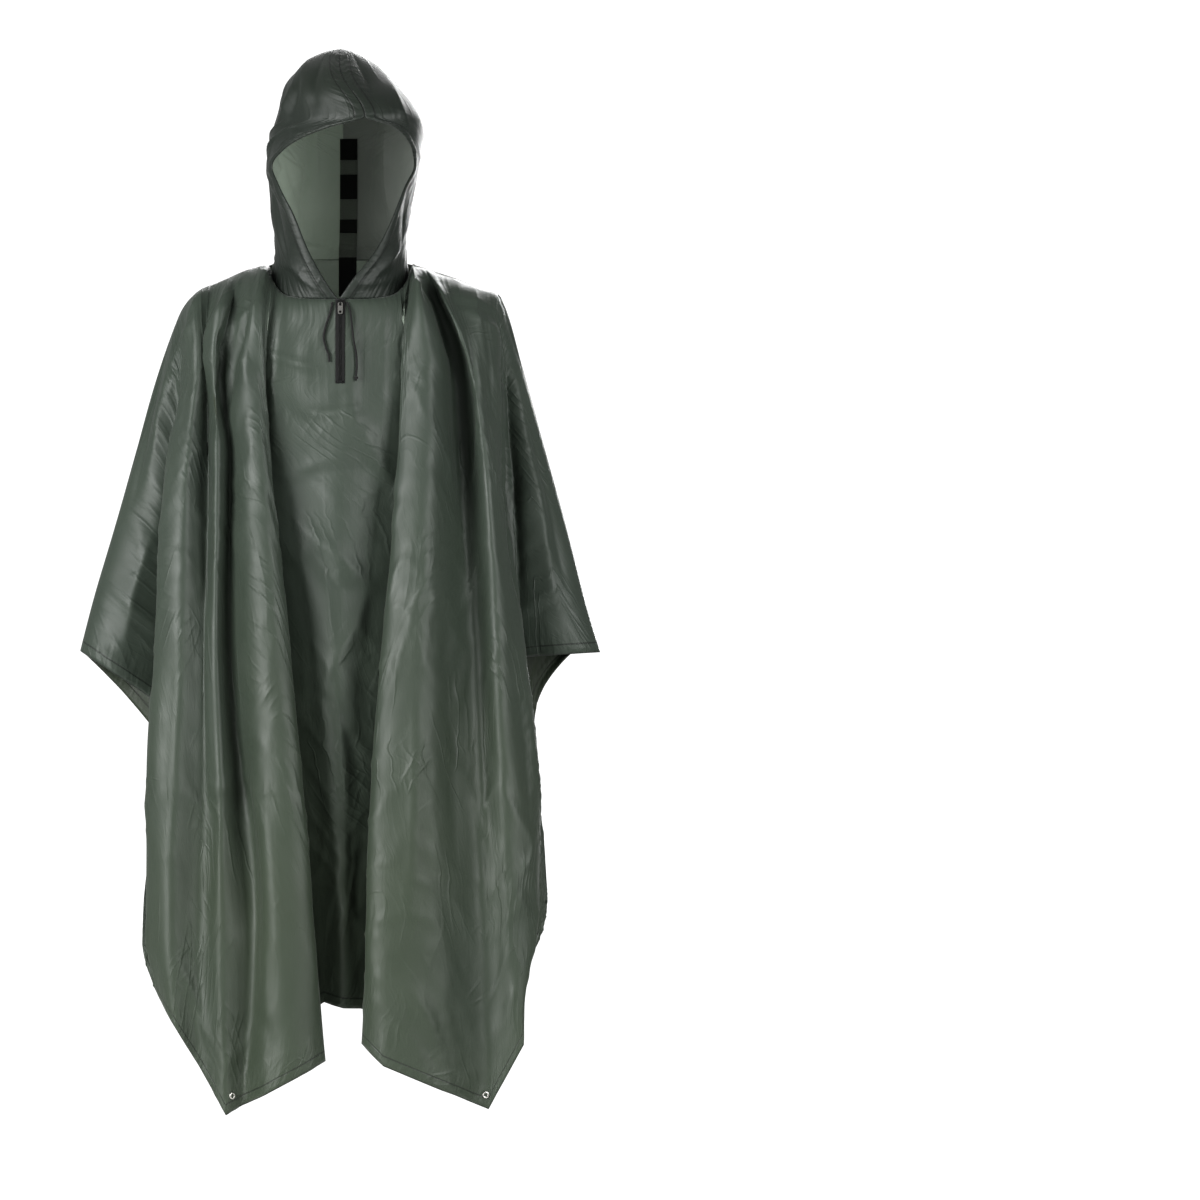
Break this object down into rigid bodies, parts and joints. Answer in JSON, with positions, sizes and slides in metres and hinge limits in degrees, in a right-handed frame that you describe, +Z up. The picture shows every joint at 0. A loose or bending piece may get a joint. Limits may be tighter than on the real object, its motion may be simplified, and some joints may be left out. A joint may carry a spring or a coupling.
{
  "type": "hooded rain poncho",
  "caption": "Hooded rain poncho worn as a hollow drape, with a short neck zip, drawcord ends, a face opening and open sleeves and hem.",
  "frame": {"origin": "middle of the neck at the level where the wearer's shoulders carry the poncho", "axes": "+Z up, the front faces -Y and the wearer's left is +X"},
  "size_m": [0.7276, 0.4077, 1.4828],
  "materials": {
    "coated_cloth": "semi-gloss coated taffeta",
    "zip_tape": "black woven zip tape with a coil",
    "zip_slider": "black lacquered die-cast",
    "metal": "nickel plated",
    "drawcord": "braided cord",
    "hood_tape": "woven webbing",
    "loop_pile": "matt loop pile"
  },
  "bodies": {
    "garment": {"body_front": "coated_cloth", "body_back": "coated_cloth", "hood_right": "coated_cloth", "hood_left": "coated_cloth", "zip_tape": "zip_tape", "zip_slider": "zip_slider", "zip_stop": "zip_tape", "drawcord_right": "drawcord", "drawcord_left": "drawcord", "drawcord_knot": "drawcord", "hood_tape": "hood_tape", "hood_loop_1": "loop_pile", "hood_loop_2": "loop_pile", "hood_loop_3": "loop_pile", "hood_loop_4": "loop_pile", "eyelet_front_right": "metal", "eyelet_front_left": "metal", "eyelet_back_right": "metal", "eyelet_back_left": "metal"},
    "pull": {"zip_pull": "metal"}
  },
  "joints": [
    {"name": "zip_pull_swing", "type": "hinge", "parent": "garment", "child": "pull", "pos_m": [0.003, -0.11684, -0.02175], "axis": [-1, 0, 0], "range_deg": [0, 110]}
  ]
}
